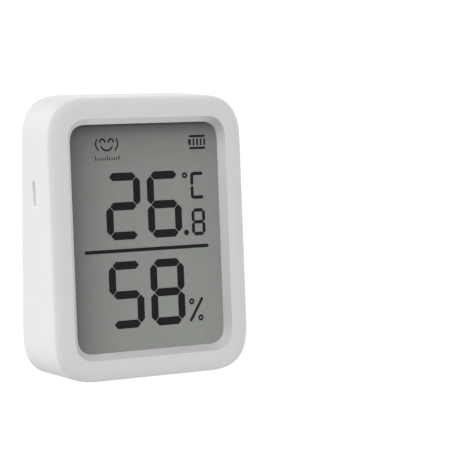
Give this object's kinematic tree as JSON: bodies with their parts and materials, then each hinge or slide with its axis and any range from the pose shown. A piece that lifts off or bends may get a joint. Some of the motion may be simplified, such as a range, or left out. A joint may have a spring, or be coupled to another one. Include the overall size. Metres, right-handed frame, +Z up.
{
  "type": "temperature humidity sensor",
  "caption": "Free-standing wedge-shaped room climate sensor with a recessed segment display, a side vent slot, a rear battery door, a push button and a keyhole for hanging",
  "frame": {"origin": "under the middle of the foot, on the surface that the sensor stands on", "axes": "+X to the viewer's right, +Y from the display front to the rear cover, +Z up"},
  "size_m": [0.0644, 0.0213, 0.0803],
  "materials": {
    "shell": "fine satin moulded white",
    "display_film": "anti-glare grey-green film",
    "display_glass": "clear",
    "reflector": "frosted silver",
    "holder_plastic": "moulded off-white",
    "dark_rubber": "soft black",
    "circuit_board": "green solder mask",
    "shield_metal": "tinned",
    "chip_plastic": "moulded black",
    "cell_sleeve": "plain printed sleeve",
    "contact_metal": "nickel plated",
    "magnet_plating": "nickel plated",
    "screw_steel": "zinc plated"
  },
  "bodies": {
    "case": {"front_housing": "shell", "lcd_front_film": "display_film", "lcd_front_glass": "display_glass", "lcd_rear_glass": "display_glass", "lcd_reflector": "reflector", "lcd_holder": "holder_plastic", "zebra_strip": "dark_rubber", "main_board": "circuit_board", "radio_module": "shield_metal", "display_driver": "chip_plastic", "humidity_sensor": "chip_plastic", "sensor_shroud": "dark_rubber", "switch_base": "chip_plastic", "rear_cover": "shell", "battery_upper": "cell_sleeve", "battery_lower": "cell_sleeve", "spring_upper": "contact_metal", "spring_lower": "contact_metal", "contact_link": "contact_metal", "contact_positive": "contact_metal", "contact_negative": "contact_metal", "magnet_left": "magnet_plating", "magnet_right": "magnet_plating", "case_screws": "screw_steel", "board_screws": "screw_steel"},
    "door": {"battery_door": "shell"},
    "button": {"unit_button": "shell", "switch_plunger": "chip_plastic"}
  },
  "joints": [
    {"name": "door_hinge", "type": "hinge", "parent": "case", "child": "door", "pos_m": [0, 0.01075, 0.0067], "axis": [-1, 0, 0], "range_deg": [0, 80]},
    {"name": "button_press", "type": "slide", "parent": "case", "child": "button", "axis": [0, -1, 0], "range_m": [0, 0.0005], "stiffness_N_per_m": 800, "springref_m": -0.0005}
  ]
}
